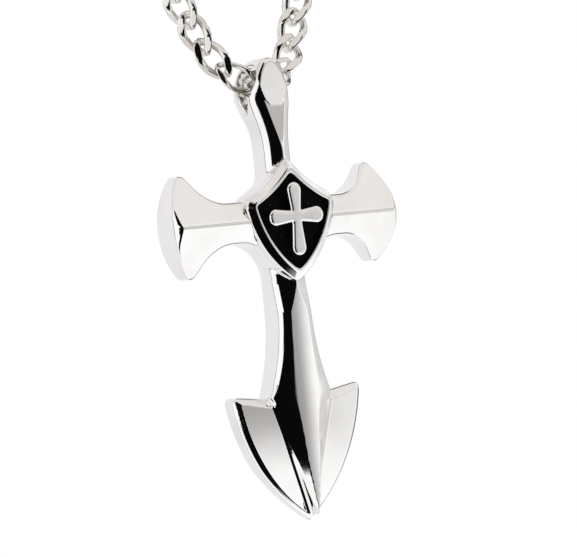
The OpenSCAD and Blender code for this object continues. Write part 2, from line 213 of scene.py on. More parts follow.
def polished_steel(name, tint, stain_tint, rough, wave):
    """Mirror-polished steel: a slow waviness from the wheel, fine scratches and faint stains."""
    material, tree = new_material(name)
    place = node(tree, "ShaderNodeTexCoord")[PLACE]
    stains = noise(tree, place, STAIN_SCALE).smooth(*STAIN_EDGE)
    scratches = noise(tree, place, SCRATCH_SCALE, detail=2.0)
    waves = noise(tree, place, WAVE_SCALE, detail=1.0)
    marks = stains * STAIN_ROUGH
    scuffs = scratches.smooth(*SCRATCH_EDGE) * SCRATCH_ROUGH
    finish_material(
        tree,
        {
            "Base Color": stains.mix(tint, stain_tint),
            "Metallic": 1.0,
            "Roughness": rough + marks + scuffs,
            "Normal": bump(tree, wave, STEEL_BUMP_M, waves + scratches * SCRATCH_DEPTH),
        },
    )
    return material


def black_enamel():
    """Black fill: dull on top, with small dusty pits and a slightly uneven surface."""
    material, tree = new_material("black_enamel")
    place = node(tree, "ShaderNodeTexCoord")[PLACE]
    pits = noise(tree, place, PIT_SCALE, detail=4.0, rough=0.6).smooth(*PIT_EDGE)
    swell = noise(tree, place, SWELL_SCALE, detail=2.0)
    finish_material(
        tree,
        {
            "Base Color": pits.mix(ENAMEL_BLACK, ENAMEL_DUST),
            "Roughness": ENAMEL_ROUGH + swell * SWELL_ROUGH + pits * PIT_ROUGH,
            "Specular IOR Level": ENAMEL_SHINE,
            "Normal": bump(tree, ENAMEL_BUMP, ENAMEL_BUMP_M, swell - pits * PIT_DEPTH),
        },
    )
    return material


STEEL = polished_steel("polished_steel", STEEL_TINT, STEEL_STAIN, rough=0.06, wave=0.05)
CHAIN_STEEL = polished_steel("chain_steel", CHAIN_TINT, CHAIN_STAIN, rough=0.14, wave=0.15)
ENAMEL = black_enamel()


def dress(piece, material):
    piece.data.materials.clear()
    piece.data.materials.append(material)


def new_piece(name, mesh, material):
    piece = bpy.data.objects.new(name, mesh)
    bpy.context.scene.collection.objects.link(piece)
    dress(piece, material)
    return piece


# How a casting is shaped
# A shape is a function of a place (x, h, z) in the pendant's own frame, in millimetres: h is
# the height above the flat back, and the function is below 0 in the metal and above it outside.
def both(a, b, blend=0.0):
    """Metal only where a and b both have it. The corner between them is rounded by blend."""
    if np.ndim(blend) == 0 and not blend:
        return np.maximum(a, b)
    corner = np.hypot(np.maximum(blend + a, 0), np.maximum(blend + b, 0))
    return np.minimum(-blend, np.maximum(a, b)) + corner


def either(a, b, blend=0.0):
    """Metal where a or b has it, with a fillet of radius blend."""
    return -both(-a, -b, blend)


def lower(a, b, blend):
    """The lower of two heights, with the crease between them softened."""
    near = np.maximum(blend - np.abs(a - b), 0)
    return np.minimum(a, b) - near * near / (4 * blend)


def higher(a, b, blend):
    """The higher of two heights, with the valley between them softened."""
    return -lower(-a, -b, blend)


def bow(p, q, sag):
    """Centre and radius of the arc from p to q that bulges by sag."""
    dx, dz = q[0] - p[0], q[1] - p[1]
    length = math.hypot(dx, dz)
    r = (length * length / 4 + sag * sag) / (2 * sag)
    centre_x = (p[0] + q[0]) / 2 - dz / length * (r - sag)
    centre_z = (p[1] + q[1]) / 2 + dx / length * (r - sag)
    return centre_x, centre_z, abs(r)


def read_off(table, v):
    """The value at v in a table of (place, value) rows: straight between rows, level past the ends."""
    places, values = zip(*table)
    return np.interp(v, places, values)


def fade(v, start, end):
    """0 before start, 1 after end and straight between them."""
    return np.interp(v, [start, end], [0, 1])


# How a casting is meshed
SETTLE_ROUNDS = 3
LEAST_SLOPE_SQUARED = 0.25
PROBE = 0.008


def gradient(shape, points):
    """How fast the shape's function grows along x, h and z at each point."""
    columns = []
    for axis in range(3):
        reach = np.zeros(3)
        reach[axis] = PROBE
        columns.append((shape(*(points + reach).T) - shape(*(points - reach).T)) / (2 * PROBE))
    return np.stack(columns, 1)


def cut_edges(values):
    """Grid edges that the surface cuts: axis, where each starts, if it starts in metal, and its cut."""
    inside = values < 0
    cuts = []
    for axis in range(3):
        first = [slice(None)] * 3
        second = [slice(None)] * 3
        first[axis], second[axis] = slice(0, -1), slice(1, None)
        first, second = tuple(first), tuple(second)
        cut = inside[first] != inside[second]
        at = np.argwhere(cut)
        before, after = values[first][cut], values[second][cut]
        place = at.astype(float)
        place[:, axis] += before / (before - after)
        cuts.append((axis, at, inside[first][cut], place))
    return cuts


def cell_points(cuts, cells):
    """Numbers the grid cells that the surface runs through, and adds up and counts each one's cuts."""
    total = np.zeros(cells + [3])
    hits = np.zeros(cells)
    for axis, at, _, place in cuts:
        u, v = (k for k in range(3) if k != axis)
        for du, dv in ((0, 0), (0, 1), (1, 0), (1, 1)):
            cell = at.copy()
            cell[:, u] -= du
            cell[:, v] -= dv
            good = np.all((cell >= 0) & (cell < cells), axis=1)
            spot = tuple(cell[good].T)
            np.add.at(total, spot, place[good])
            np.add.at(hits, spot, 1)
    used = hits > 0
    number = np.full(cells, -1)
    number[used] = np.arange(used.sum())
    return number, total[used], hits[used][:, None]


def cell_faces(cuts, number):
    """One face across each cut edge, through the four cells round it."""
    faces = []
    for axis, at, starts_in, _ in cuts:
        u, v = (axis + 1) % 3, (axis + 2) % 3
        corners = []
        for du, dv in ((0, 0), (-1, 0), (-1, -1), (0, -1)):
            cell = at.copy()
            cell[:, u] += du
            cell[:, v] += dv
            corners.append(number[tuple(cell.T)])
        quads = np.stack(corners, 1)
        quads[~starts_in] = quads[~starts_in][:, ::-1]
        faces.append(quads)
    return np.concatenate(faces)


def skin(shape, low, high, step):
    """Points, faces and normals of the shape's surface, on a grid of the given step."""
    low = np.array(low, float)
    count = [int(math.ceil((high[k] - low[k]) / step)) + 1 for k in range(3)]
    x, h, z = (low[k] + step * np.arange(count[k]) for k in range(3))
    values = shape(x[:, None, None], h[None, :, None], z[None, None, :])
    cuts = cut_edges(np.broadcast_to(values, count))
    number, total, hits = cell_points(cuts, [n - 1 for n in count])
    points = low + step * total / hits
    # Each round moves the points onto the surface, by half a grid step at most
    for _ in range(SETTLE_ROUNDS):
        slope = gradient(shape, points)
        size = np.maximum((slope * slope).sum(1), LEAST_SLOPE_SQUARED)
        move = -shape(*points.T)[:, None] * slope / size[:, None]
        points += np.clip(move, -step / 2, step / 2)
    slope = gradient(shape, points)
    normals = slope / np.linalg.norm(slope, axis=1)[:, None]
    return points, cell_faces(cuts, number), normals


# The height above the back grows towards -y
HEIGHT_TO_Y = np.array([1, -1, 1])


def casting(name, source, shape, low, high, step, slot, material):
    """A smooth piece that stands for a CAD node of the pendant."""
    points, faces, normals = skin(shape, low, high, step)
    turn = np.array(HANG.to_3x3())
    place = (points * HEIGHT_TO_Y * MM) @ turn.T + np.array(HANG.translation)
    ahead = (normals * HEIGHT_TO_Y) @ turn.T
    mesh = bpy.data.meshes.new(name)
    mesh.from_pydata(place.tolist(), [], faces[:, ::-1].tolist())
    mesh.update()
    mesh.shade_smooth()
    mesh.normals_split_custom_set_from_vertices(ahead.tolist())
    piece = new_piece(name, mesh, material)
    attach(piece, "pendant")
    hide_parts(source)


# Cross, in millimetres. The main sizes are the CAD's. Four are set for the way the polish looks: the
# arms' corners are rounder, the spear's edges lower, and the head's facet and the shield's edge a
# little higher. The rounds, the soft creases and the crowns are made here alone.
RIDGE_H = 4.3
BAND_H = 3.9
ARM_FALL = 0.43
ARM_CREST_CUT = 0.06
BAND_FALL = 0.5

# Arms: their necks, the arcs that flare them, and their bowed ends
ARM_NECK = 2.4
FLARE_R = 5.0
FLARE_TURN = math.radians(55)
FLARE_X = 8.22
ARM_END = (16.5, 0.0)
ARM_END_UP = (14.53, 5.61)
ARM_END_BULGE = -0.55
ARM_CORNER_R = 1.15
# Fillets between the arms and the head, and between the arms and the shaft
CORNER_UP, CORNER_LOW = 3.6, 4.8
# How softly the arms' ridge turns over, above the middle and below it
RIDGE_SOFT_UP, RIDGE_SOFT_LOW = 0.12, 0.9

# Head: its sides run from the waist's arc to the arc round the bail, and an arc closes the top
WAIST_LOW, WAIST_TOP = (1.85, 6.1), (2.7, 13.2)
WAIST_SAG = -0.42
HEAD_SIDE_LOW, HEAD_SIDE_TOP = (2.85, 14.3), (2.0, 17.4)
HEAD_SIDE_SAG = 0.15
HEAD_CORNER = (1.9, 17.7)
HEAD_TOP = 19.25
HEAD_TOP_SAG = 0.36
HEAD_SIDE_R, HEAD_CORNER_R = 0.5, 0.3
# The neck's ridge starts to fall at NECK_Z, and the head's flat facet leans on from FACET_Z
NECK_Z, NECK_LEAN = 8.2, math.radians(7.1)
NECK_SIDE_SOFT, NECK_SIDE_CUT = 0.05, 0.1
FACET_Z, FACET_H, FACET_LEAN = 13.5, 3.262, math.radians(2.6)
FACET_FALL = 0.5
# Height on the head, and half the width of its drop-shaped facet there
FACET_OUTLINE = [
    (13.2, 0.0),
    (13.28, 0.4),
    (13.45, 0.75),
    (13.75, 1.05),
    (14.2, 1.35),
    (15, 1.7),
    (16, 1.95),
    (17, 2.0),
    (18, 1.68),
    (18.5, 1.27),
    (19, 0.6),
]

# Bail: the hole's centre, radius and pointed lower end
HOLE_Y, HOLE_Z, HOLE_R = -0.8, 16.65, 1.75
HOLE_DROP = 3.85
HOLE_EDGE_R = 0.3
# The metal behind the hole stands out by BAIL_RISE, from BAIL_RISE_LOW to BAIL_RISE_TOP below its centre
BAIL_RISE, BAIL_RISE_LOW, BAIL_RISE_TOP = 1.55, 6, 1
# The head's top is round from the side too
HEAD_ROUND_H, HEAD_ROUND_R, HEAD_ROUND_EDGE_R = 1.05, 2.6, 0.38

# Shaft: it widens by an arc from its narrowest place down to the spear's shoulders
SHAFT_NARROW = (2.4, -9.5)
SHAFT_SAG = -0.62
SHAFT_TOP_Z = 4
# Distance below the arms' middle, and half the width of the shaft's flat band there
BAND_START, BAND_FOOT_HALF = 10.9, 1.35
BAND_OUTLINE = [(7.6, 0.0), (BAND_START, 1.1), (20.6, BAND_FOOT_HALF), (28.3, 0.85), (35.1, 0.0)]
BAND_CROWN = 0.06

# Spear: the point of the foot, between the wings
SHOULDER_Z = -20.6
SPEAR_HALF, SPEAR_TIP_Z = 4.45, -34.9
SPEAR_EDGE_H = 2.9
SPEAR_EDGE_R = 0.12
# Cosine of the slant of the spear's sides
SPEAR_SLANT = 0.955
NARROWEST_FALL = 0.2
# Distance below the arms' middle, and the height of the spear's edge there
SPEAR_EDGE = [(21, SPEAR_EDGE_H), (25, 2.75), (27, 2.85), (28.3, 3.0), (30.2, 3.2), (34.9, 3.5)]

# Wings: two bevelled plates that bow from the barbs to the tip
TIP_Z = -35.6
BARB = (9.4, -21.5)
BARB_Z = -20.75
BARB_R = 0.9
WING_SAG = 1.75
WING_RISE = 0.135
WING_H, WING_EDGE_H, WING_BEVEL = 2.55, 1.85, 0.95
WING_EDGE_R = 0.22
# The wing's flat is slightly crowned: it falls outwards from its inner side and towards the tip
WING_LIFT = 0.05
WING_CROWN, WING_CROWN_X = 0.07, 5.5
WING_DROOP, WING_DROOP_Z = 0.003, -19
# Fillet where the wings meet the shaft: distance below the arms' middle, and radius
WING_FILLET = [(20.6, 0.2), (21.6, 0.5)]
# The back of the foot rises towards the tip
FOOT_Z = -20
BACK_RISE_Z, BACK_RISE_SLOPE = -27.5, 0.158

# How steep the front and the wings' bevels are at most, as cosines, so that depths read as distances
ROOF_COS, WING_COS = 0.92, 0.85
# How far the creases are softened
NECK_CREASE, FACET_CREASE, BAND_CREASE, WING_CREASE = 0.1, 0.04, 0.05, 0.06
ARM_VALLEY = 0.3

# Radii of the edges
BACK_EDGE_R = 0.3
SHAFT_EDGE_R, HEAD_EDGE_R, ARM_EDGE_R, FOOT_EDGE_R = 0.5, 0.68, 0.38, 0.16
# Distance from the arm's ridge, and the edge's radius at the arm's end
ARM_END_EDGE_R = [(0.2, 0.9), (1.1, 0.6), (2.2, 0.2)]
ARM_END_RIDGE_Z = -0.1
# Where one radius passes over into the next: outwards for the arms, up for the head, down for the foot
ARM_FADE_X, ARM_FADE_Z, ARM_END_FADE = (3.2, 6), (6, 9), (13, 14.5)
HEAD_FADE, FOOT_FADE = (-4, 4), (19.2, 21)

# Shield: its plan is the sunk field's outline, grown by the rim and its chamfer
FIELD_TOP, FIELD_CORNER, FIELD_POINT = (0, 5.7), (5.42, 1.75), (0, -6.2)
FIELD_TOP_SAG, FIELD_SIDE_SAG = 0.38, 0.92
FIELD_CORNER_R = 0.35
# Rounds the outline where it crosses the middle
FIELD_MIDDLE_SOFT = 0.14
SHIELD_H, SHIELD_EDGE_H = 4.8, 4.25
RIM_W, RIM_CHAMFER = 0.35, 0.8
RIM_SIDE_R, RIM_TOP_R, FIELD_EDGE_R = 0.12, 0.1, 0.08
# The seat under it, cut into the cross, and the fillet round the seat
SEAT_H, SEAT_LOW_H = 3.6, 1.5
SEAT_FILLET, SEAT_GAP = 0.25, 0.05

# Black fill: it starts under the field's floor and stands over it
FLOOR_H, FILL_H = 4.0, 4.2
FILL_EDGE, FILL_EDGE_R, FILL_UNDER = 0.04, 0.02, 0.1

# Small cross: four leaves round its middle, each with a round end
LEAVES_Z = 0.2
LEAF_UP, LEAF_DOWN, LEAF_SIDE = 4.0, 4.65, 4.0
LEAF_MIDDLE_R, LEAF_END_R = 0.62, 1.0
LEAF_FILLET, LEAF_EDGE_R = 0.2, 0.3
SMALL_CROSS_H = 5.35
# Its top falls towards its edges
DOME, DOME_W = 0.12, 0.75


def arms_plan(x, z):
    """The arms seen from the front; x and z are both measured outwards."""
    flare_z = ARM_NECK + FLARE_R
    c, s = math.cos(FLARE_TURN), math.sin(FLARE_TURN)
    round_side = FLARE_R - np.hypot(x - FLARE_X, z - flare_z)
    end_x, end_z = FLARE_X + FLARE_R * s, flare_z - FLARE_R * c
    slanted = (z - end_z) * c - (x - end_x) * s
    past = (x - FLARE_X) * c + (z - flare_z) * s > 0
    sides = np.where(x < FLARE_X, z - ARM_NECK, np.where(past, slanted, round_side))
    cx, cz, r = bow(ARM_END_UP, ARM_END, ARM_END_BULGE)
    return both(sides, np.hypot(x - cx, z - cz) - r, ARM_CORNER_R)


def head_plan(x, z):
    """The head and its waist seen from the front; x is measured outwards."""
    cx, cz, r = bow(WAIST_LOW, WAIST_TOP, WAIST_SAG)
    waist = r - np.hypot(x - cx, np.maximum(z - cz, 0))
    cx, cz, r = bow(HEAD_SIDE_LOW, HEAD_SIDE_TOP, HEAD_SIDE_SAG)
    head = np.hypot(x - cx, np.maximum(z - cz, 0)) - r
    cx, cz, r = bow(HEAD_CORNER, (0, HEAD_TOP), HEAD_TOP_SAG)
    top = np.hypot(x - cx, z - cz) - r
    # Outside the corner the top runs on along its arc's tangent
    corner_x, corner_z = HEAD_CORNER
    ax, az = (corner_x - cx) / r, (corner_z - cz) / r
    line = (x - corner_x) * ax + (z - corner_z) * az
    top = np.where((x - cx) * az > (z - cz) * ax, line, top)
    return both(both(waist, head, HEAD_SIDE_R), top, HEAD_CORNER_R)


def spear_half(z):
    """Half the width of the spear."""
    return SPEAR_HALF * (z - SPEAR_TIP_Z) / (SHOULDER_Z - SPEAR_TIP_Z)


def shaft_plan(x, z):
    """The shaft and the spear seen from the front; x is measured outwards."""
    cx, cz, r = bow((SPEAR_HALF, SHOULDER_Z), SHAFT_NARROW, SHAFT_SAG)
    flare = r - np.hypot(x - cx, np.minimum(z - cz, 0))
    return both(flare, (x - spear_half(z)) * SPEAR_SLANT, SPEAR_EDGE_R)


def edge_round(x, z):
    """Radius of the front edges: large on the shaft and the head, small on the arms and the spear."""
    arm = fade(x, *ARM_FADE_X) * (1 - fade(np.abs(z), *ARM_FADE_Z))
    end = fade(x, *ARM_END_FADE)
    foot = fade(-z, *FOOT_FADE)
    upright = SHAFT_EDGE_R + (HEAD_EDGE_R - SHAFT_EDGE_R) * fade(z, *HEAD_FADE)
    r = upright + (ARM_EDGE_R - upright) * arm
    r = r + (read_off(ARM_END_EDGE_R, np.abs(z - ARM_END_RIDGE_Z)) - r) * end
    return r + (FOOT_EDGE_R - r) * foot


def head_roof(x, z):
    """Height of the neck's ridge and the head's facet."""
    sides = BAND_H - BAND_FALL * (np.sqrt(x * x + NECK_SIDE_SOFT) - NECK_SIDE_CUT)
    neck = BAND_H - (z - NECK_Z) * math.tan(NECK_LEAN)
    past_facet = np.maximum(x - read_off(FACET_OUTLINE, z), 0)
    facet = FACET_H - (z - FACET_Z) * math.tan(FACET_LEAN) - FACET_FALL * past_facet
    return higher(lower(sides, neck, NECK_CREASE), facet, FACET_CREASE)


def shaft_roof(x, z):
    """Height of the shaft's band and the slopes beside it, down to the spear's tip."""
    half = read_off(BAND_OUTLINE, -z)
    foot_fall = (BAND_H - read_off(SPEAR_EDGE, -z)) / np.maximum(spear_half(z) - half, NARROWEST_FALL)
    shoulder_fall = (BAND_H - SPEAR_EDGE_H) / (SPEAR_HALF - BAND_FOOT_HALF)
    shaft_fall = read_off([(BAND_START, BAND_FALL), (-SHOULDER_Z, shoulder_fall)], -z)
    fall = np.where(z > SHOULDER_Z, shaft_fall, foot_fall)
    return lower(BAND_H - BAND_CROWN * x * x, BAND_H + fall * (half - x), BAND_CREASE)


def roof(x, z):
    """Height of the front over the back; x is measured outwards."""
    soft = np.where(z > 0, RIDGE_SOFT_UP, RIDGE_SOFT_LOW)
    arms = RIDGE_H - ARM_FALL * (np.sqrt(z * z + soft * soft) - soft + ARM_CREST_CUT)
    upright = np.where(z > SHAFT_TOP_Z, head_roof(x, z), shaft_roof(x, z))
    return higher(arms, upright, ARM_VALLEY)


def wings(x, h, z):
    """The two wings of the foot; x is measured outwards."""
    cx, cz, r = bow((0, TIP_Z), BARB, WING_SAG)
    upper_edge = (z - BARB_Z - WING_RISE * np.maximum(x - SPEAR_HALF, 0)) * math.cos(WING_RISE)
    plan = both(np.hypot(x - cx, z - cz) - r, upper_edge, BARB_R)
    bevel = WING_EDGE_H - (WING_H - WING_EDGE_H) / WING_BEVEL * plan
    crown = WING_CROWN * (WING_CROWN_X - x)
    flat = WING_H + crown + WING_LIFT - WING_DROOP * np.maximum(WING_DROOP_Z - z, 0) ** 2
    top = lower(bevel, flat, WING_CREASE)
    return both(both(plan, (h - top) * WING_COS, WING_EDGE_R), -h, BACK_EDGE_R)


def hole(h, z):
    """The bail's hole seen from the side: round above and pointed below."""
    y, up = np.abs(-h - HOLE_Y), z - HOLE_Z
    s = HOLE_R / HOLE_DROP
    c = math.sqrt(1 - s * s)
    line = y * c - up * s - HOLE_R
    return np.where(up * c > -y * s, np.hypot(y, up) - HOLE_R, line)


def field_plan(x, z):
    """The shield's sunk field seen from the front; x is measured outwards."""
    x = np.sqrt(x * x + FIELD_MIDDLE_SOFT)
    cx, cz, r = bow(FIELD_TOP, FIELD_CORNER, FIELD_TOP_SAG)
    upper = r - np.hypot(x - cx, z - cz)
    cx, cz, r = bow(FIELD_POINT, FIELD_CORNER, FIELD_SIDE_SAG)
    return both(upper, np.hypot(x - cx, z - cz) - r, FIELD_CORNER_R)


def cross_upright(x, h, z):
    """The arms, the head and the shaft with the spear; x is measured outwards."""
    corner = np.where(z > 0, CORNER_UP, CORNER_LOW)
    upright = np.where(z > 0, head_plan(x, z), shaft_plan(x, z))
    plan = either(arms_plan(x, np.abs(z)), upright, corner)
    body = both(plan, (h - roof(x, z)) * ROOF_COS, edge_round(x, z))
    back = -h - BAIL_RISE * fade(z, HOLE_Z - BAIL_RISE_LOW, HOLE_Z - BAIL_RISE_TOP)
    body = both(body, back, BACK_EDGE_R)
    head_side = np.hypot(np.maximum(HEAD_ROUND_H - h, 0), np.maximum(z - HOLE_Z, 0)) - HEAD_ROUND_R
    return both(body, head_side, HEAD_ROUND_EDGE_R)


def cross_body(x, h, z):
    x = np.abs(x)
    body = either(cross_upright(x, h, z), wings(x, h, z), read_off(WING_FILLET, -z))
    rising_back = np.maximum(BACK_RISE_Z - z, 0) * BACK_RISE_SLOPE - h
    body = np.where(z < FOOT_Z, np.maximum(body, rising_back), body)
    under_shield = field_plan(x, z) - RIM_W - RIM_CHAMFER
    seat = np.maximum(np.maximum(under_shield, h - SEAT_H), SEAT_LOW_H - h)
    body = either(body, seat, SEAT_FILLET)
    body = np.maximum(body, -np.maximum(under_shield + SEAT_GAP, SEAT_H - h))
    return both(body, -hole(h, z), HOLE_EDGE_R)


def shield_plate(x, h, z):
    field = field_plan(np.abs(x), z)
    wall = field - RIM_W - RIM_CHAMFER
    across, up = RIM_CHAMFER, SHIELD_H - SHIELD_EDGE_H
    chamfer = (wall * up + (h - SHIELD_EDGE_H) * across) / math.hypot(across, up)
    plate = both(both(wall, chamfer, RIM_SIDE_R), h - SHIELD_H, RIM_TOP_R)
    plate = np.maximum(plate, SEAT_H - h)
    return both(plate, -both(field, FLOOR_H - h), FIELD_EDGE_R)


def black_fill(x, h, z):
    field = field_plan(np.abs(x), z) - FILL_EDGE
    return both(both(field, h - FILL_H, FILL_EDGE_R), FLOOR_H - FILL_UNDER - h)


def leaf(x, z, reach):
    """One leaf of the small cross: a bar that widens from its middle to its round end."""
    length = reach - LEAF_END_R
    b = (LEAF_MIDDLE_R - LEAF_END_R) / length
    a = math.sqrt(1 - b * b)
    along = -b * np.abs(x) + a * z
    side = a * np.abs(x) + b * z - LEAF_MIDDLE_R
    middle_end = np.hypot(x, z) - LEAF_MIDDLE_R
    outer_end = np.hypot(x, z - length) - LEAF_END_R
    return np.where(along < 0, middle_end, np.where(along > a * length, outer_end, side))


def small_cross(x, h, z):
    z = z - LEAVES_Z
    plan = np.minimum(leaf(x, z, LEAF_UP), leaf(x, -z, LEAF_DOWN))
    plan = either(plan, leaf(z, np.abs(x), LEAF_SIDE), LEAF_FILLET)
    top = h - SMALL_CROSS_H + DOME * np.maximum(DOME_W + plan, 0) ** 3
    return both(both(plan, top, LEAF_EDGE_R), FLOOR_H - h)


CASTINGS = [
    # Piece, CAD node, shape, lowest corner, highest corner, grid step, slot, material
    (
        "cross", "cross_body", cross_body,
        (-16.8, -1.8, -35.9), (16.8, 4.7, 19.5), 0.15, "polished_steel", STEEL,
    ),
    (
        "shield_plate", "shield", shield_plate,
        (-7.4, 3.45, -8.2), (7.4, 4.95, 7.6), 0.07, "polished_steel", STEEL,
    ),
    (
        "raised_cross", "small_cross", small_cross,
        (-4.3, 3.85, -4.8), (4.3, 5.5, 4.5), 0.06, "polished_steel", STEEL,
    ),
    (
        "black_fill", "enamel_field", black_fill,
        (-5.6, 3.8, -6.4), (5.6, 4.35, 5.9), 0.09, "black_enamel", ENAMEL,
    ),
]
for row in CASTINGS:
    casting(*row)

# Chain, in millimetres. The route, the pitch and the links' size are the CAD's. The wire is rounder
# here, and ground flat at GROUND above and below the link's middle.
LINK_PITCH = 3.5
LINKS_A_SIDE = 69
LINK_LEN = 5.7
LINK_W = 3.4
CAD_WIRE_W = 0.7
LINK_TWIST = 58
WIRE_W, WIRE_T = 0.92, 0.74
GROUND = 0.72
# The link in the bail and its neighbours have a slimmer wire, so that the pendant swings clear
BAIL_LINKS = 1
BAIL_WIRE_W, BAIL_WIRE_T = 0.62, 0.58
LINK_RINGS, WIRE_SIDES = 44, 12
# Below 1, a link's plan and its wire's section are squarer than an ellipse
SQUARENESS = 0.8
RING_REACH = math.radians(4)

# Route round the neck
NECK_R = 60
SKIN_GAP = 2.7
NAPE_FALL = 0.2
SHOULDER_LEG = 25
STRAND_DIR = Vector((0.445, 0.085, 1)).normalized()
BAIL_TO_STRAND = Vector((5.9, 1.6, 3.4))
BEND_IN, BEND_OUT, BEND_ON = 4.0, 3.2, 3.0
BEND_PARTS, SHOULDER_PARTS, NAPE_PARTS = 12, 20, 30
DIRECTION_REACH = 0.9
# Along the route the links turn from facing ahead to facing away from the neck
FACE_TURN_START, FACE_TURN_LEN = 30, 110
# Link counted from the bail, and how far it has rolled about the route, in degrees
ROLL_STEPS = [(0, 0), (3, 45), (7, 45), (12, 0)]
# The last links before the end rings roll by a link's twist
END_LINKS = 5


def bail_bend(pivot, low, t):
    """A place on the bend from the bail's middle to the straight strand."""
    end = low + BEND_ON * STRAND_DIR
    lead_in = pivot + Vector((BEND_IN, 0, 0))
    lead_out = end - BEND_OUT * STRAND_DIR
    w = 1 - t
    return w**3 * pivot + 3 * w * w * t * lead_in + 3 * w * t * t * lead_out + t**3 * end


def route_points():
    """The chain's middle line on the right, from the bail to the nape."""
    centre_y = SKIN_GAP - NECK_R
    nape_side = Vector((NECK_R, centre_y, -NECK_R * NAPE_FALL))
    shoulder = nape_side + SHOULDER_LEG * Vector((0, -1, -NAPE_FALL)).normalized()
    strand_top = shoulder - SHOULDER_LEG * STRAND_DIR
    low = strand_top - (strand_top.x - BAIL_TO_STRAND.x) / STRAND_DIR.x * STRAND_DIR
    pivot = low - BAIL_TO_STRAND
    points = [bail_bend(pivot, low, i / BEND_PARTS) for i in range(BEND_PARTS + 1)]
    for i in range(SHOULDER_PARTS + 1):
        t = i / SHOULDER_PARTS
        points.append((1 - t) ** 2 * strand_top + 2 * t * (1 - t) * shoulder + t * t * nape_side)
    for i in range(1, NAPE_PARTS + 1):
        a = math.radians(90 - 90 / NAPE_PARTS * i)
        fall = NECK_R * NAPE_FALL * (1 - math.cos(a))
        points.append(Vector((NECK_R * math.sin(a), centre_y + NECK_R * math.cos(a), -fall)))
    return points


ROUTE = route_points()
ROUTE_S = [0.0]
for a, b in zip(ROUTE, ROUTE[1:]):
    ROUTE_S.append(ROUTE_S[-1] + (b - a).length)


def lookup(x, xs, ys):
    """The value at x between the known values ys at xs, level past the ends."""
    if x <= xs[0]:
        return ys[0]
    for x0, x1, y0, y1 in zip(xs, xs[1:], ys, ys[1:]):
        if x <= x1:
            return y0 + (y1 - y0) * ((x - x0) / (x1 - x0))
    return ys[-1]


def side(s):
    """-1 on the left strand and 1 on the right one."""
    return -1 if s < 0 else 1


def route_at(s):
    """The place at distance s from the bail; s is negative on the left strand."""
    p = lookup(abs(s), ROUTE_S, ROUTE)
    return Vector((side(s) * p.x, p.y, p.z))


def route_dir(s):
    return (route_at(s + DIRECTION_REACH) - route_at(s - DIRECTION_REACH)).normalized()


def ramp(v):
    t = max(0, min(1, v))
    return t * t * (3 - 2 * t)


def route_out(s):
    """The direction that an unrolled link's flat side faces."""
    p, t = route_at(s), route_dir(s)
    u = ramp((abs(s) - FACE_TURN_START) / FACE_TURN_LEN)
    up = Vector((0, STRAND_DIR.y, STRAND_DIR.z)).normalized()
    ahead = Vector((0, -up.z, up.y))
    from_neck = Vector((p.x, p.y - SKIN_GAP + NECK_R, 0)).normalized()
    v = (1 - u) * ahead + u * from_neck
    return (v - v.dot(t) * t).normalized()


def link_frame(i):
    """Place of link i, and its directions along, across and out."""
    s = i * LINK_PITCH
    t, out = route_dir(s), route_out(s)
    steps, rolls = zip(*ROLL_STEPS)
    end_roll = LINK_TWIST * ramp((abs(i) - LINKS_A_SIDE + END_LINKS) / END_LINKS)
    w = math.radians(-side(i) * (lookup(abs(i), steps, rolls) + end_roll))
    n = out * math.cos(w) + t.cross(out) * math.sin(w)
    return route_at(s), t, n.cross(t), n


def squared(v):
    return math.copysign(abs(v) ** SQUARENESS, v)


def link_turn(a):
    """How far the link is twisted at the angle a round it."""
    return math.radians(LINK_TWIST) * squared(math.cos(a))


def link_mid(a):
    """Middle of the wire at the angle a round the link."""
    x = (LINK_LEN - CAD_WIRE_W) / 2 * squared(math.cos(a))
    w = (LINK_W - CAD_WIRE_W) / 2 * squared(math.sin(a))
    t = link_turn(a)
    return Vector((x, w * math.cos(t), w * math.sin(t)))


def link_shape(wire_w, wire_t):
    """Points of one twisted link, its wire rounded and its top and bottom ground flat."""
    points = []
    for i in range(LINK_RINGS):
        a = 2 * math.pi * i / LINK_RINGS
        along = (link_mid(a + RING_REACH) - link_mid(a - RING_REACH)).normalized()
        t = link_turn(a)
        u = Vector((0, -math.sin(t), math.cos(t)))
        u = (u - u.dot(along) * along).normalized()
        v = along.cross(u)
        for j in range(WIRE_SIDES):
            b = 2 * math.pi * (j + 0.5) / WIRE_SIDES
            thick, wide = wire_t / 2 * squared(math.cos(b)), wire_w / 2 * squared(math.sin(b))
            p = link_mid(a) + thick * u + wide * v
            p.z = max(-GROUND, min(GROUND, p.z))
            points.append(p)
    return points


def link_faces(base):
    """Faces of a link whose points start at number base."""
    faces = []
    for r in range(LINK_RINGS):
        ring, next_ring = base + r * WIRE_SIDES, base + (r + 1) % LINK_RINGS * WIRE_SIDES
        for j in range(WIRE_SIDES):
            j1 = (j + 1) % WIRE_SIDES
            faces.append([ring + j, ring + j1, next_ring + j1, next_ring + j])
    return faces


FULL_LINK = link_shape(WIRE_W, WIRE_T)
BAIL_LINK = link_shape(BAIL_WIRE_W, BAIL_WIRE_T)


def chain(name, source, first, last):
    """The links from first to last, as one piece."""
    verts, faces = [], []
    for i in range(first, last + 1):
        place, t, b, n = link_frame(i)
        faces += link_faces(len(verts))
        link = BAIL_LINK if abs(i) <= BAIL_LINKS else FULL_LINK
        verts += [(place + p.x * t + p.y * b + p.z * n) * MM for p in link]
    mesh = bpy.data.meshes.new(name)
    mesh.from_pydata(verts, [], faces)
    mesh.shade_smooth()
    mesh.update()
    piece = new_piece(name, mesh, CHAIN_STEEL)
    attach(piece, "chain")
    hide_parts(source)


chain("curb_chain_left", "chain_left", -LINKS_A_SIDE, -1)
chain("curb_chain_right", "chain_right", 0, LINKS_A_SIDE)
for ring in ("left_ring", "right_ring", "clasp"):
    dress(frame["nodes"][ring], CHAIN_STEEL)

